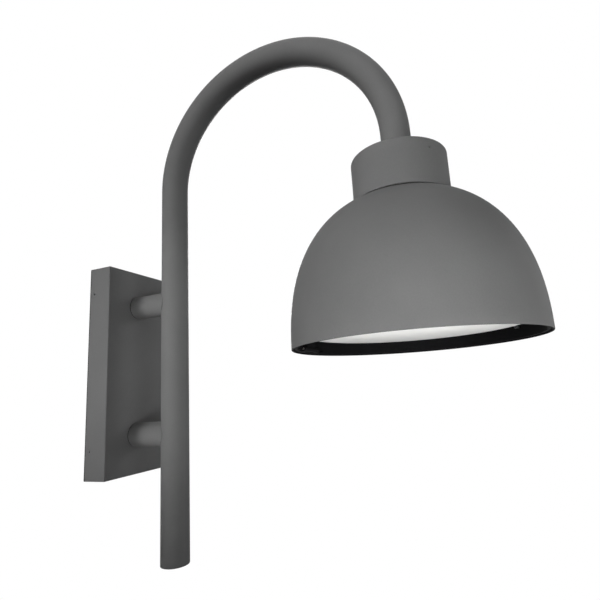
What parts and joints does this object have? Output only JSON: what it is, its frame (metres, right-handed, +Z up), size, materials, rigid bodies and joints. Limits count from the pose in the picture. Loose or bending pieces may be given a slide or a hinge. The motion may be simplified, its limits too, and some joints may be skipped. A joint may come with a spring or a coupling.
{
  "type": "dome wall light",
  "caption": "Outdoor wall light: wall box with stand-offs, bent tube arm, collar and a downward dome shade with a recessed opal lens in a hinged service door.",
  "frame": {"origin": "centre of the back plate's rear face, on the wall", "axes": "+X to the right seen from the room, +Y into the wall, +Z up"},
  "size_m": [0.324, 0.669, 0.8022],
  "materials": {
    "graphite_coat": "fine-texture matt powder coat on aluminium and steel",
    "black_coat": "matt black powder coat on cast aluminium",
    "black_rubber": "moulded matt rubber",
    "lead_rubber": "extruded cable sheath",
    "zinc_steel": "zinc plated",
    "stainless_steel": "turned",
    "black_steel": "black oxide",
    "cast_aluminium": "as cast and machined",
    "brass": "brass, turned",
    "white_nylon": "moulded nylon",
    "black_plastic": "moulded, potted",
    "driver_case": "white enamelled steel case",
    "board_white": "white solder mask on an aluminium board",
    "phosphor": "LED packages",
    "reflector_white": "matt white enamel",
    "opal_acrylic": "opal acrylic, satin"
  },
  "bodies": {
    "fixture": {"wall_gasket": "black_rubber", "wall_box": "graphite_coat", "back_plate": "zinc_steel", "cover_screws": "graphite_coat", "stiffener_plate": "zinc_steel", "terminal_block": "white_nylon", "terminal_screws": "brass", "earth_screw": "brass", "cable_grommet": "black_rubber", "upper_standoff": "graphite_coat", "lower_standoff": "graphite_coat", "upper_spigot": "zinc_steel", "lower_spigot": "zinc_steel", "spigot_washers": "zinc_steel", "spigot_nuts": "zinc_steel", "standoff_seals": "black_rubber", "arm_tube": "graphite_coat", "end_plug": "graphite_coat", "arm_seal": "black_rubber", "supply_lead": "lead_rubber", "collar": "graphite_coat", "collar_screws": "graphite_coat", "arm_hub": "cast_aluminium", "hub_set_screws": "black_steel", "collar_gasket": "black_rubber", "clamp_plate": "zinc_steel", "clamp_screws": "zinc_steel", "lead_bush": "black_rubber", "shade": "graphite_coat", "door_ring": "black_coat", "door_seal": "black_rubber", "hinge_pin": "stainless_steel", "ring_straps": "zinc_steel", "strap_screws": "stainless_steel", "gear_plate": "cast_aluminium", "heat_sink": "cast_aluminium", "hanger_rods": "zinc_steel", "rod_nuts": "zinc_steel", "driver_plate": "zinc_steel", "driver": "driver_case", "driver_screws": "zinc_steel", "surge_protector": "black_plastic", "led_board": "board_white", "led_chips": "phosphor", "board_screws": "stainless_steel", "led_lead": "lead_rubber", "led_grommet": "black_rubber", "reflector": "reflector_white"},
    "lens_door": {"lens_frame": "black_coat", "lens_gasket": "black_rubber", "lens": "opal_acrylic", "lens_clamp": "black_coat", "lens_clamp_screws": "stainless_steel", "captive_screws": "black_steel"}
  },
  "joints": [
    {"name": "door_hinge", "type": "hinge", "parent": "fixture", "child": "lens_door", "pos_m": [0, -0.357, 0.00458], "axis": [1, 0, 0], "range_deg": [0, 90]}
  ]
}
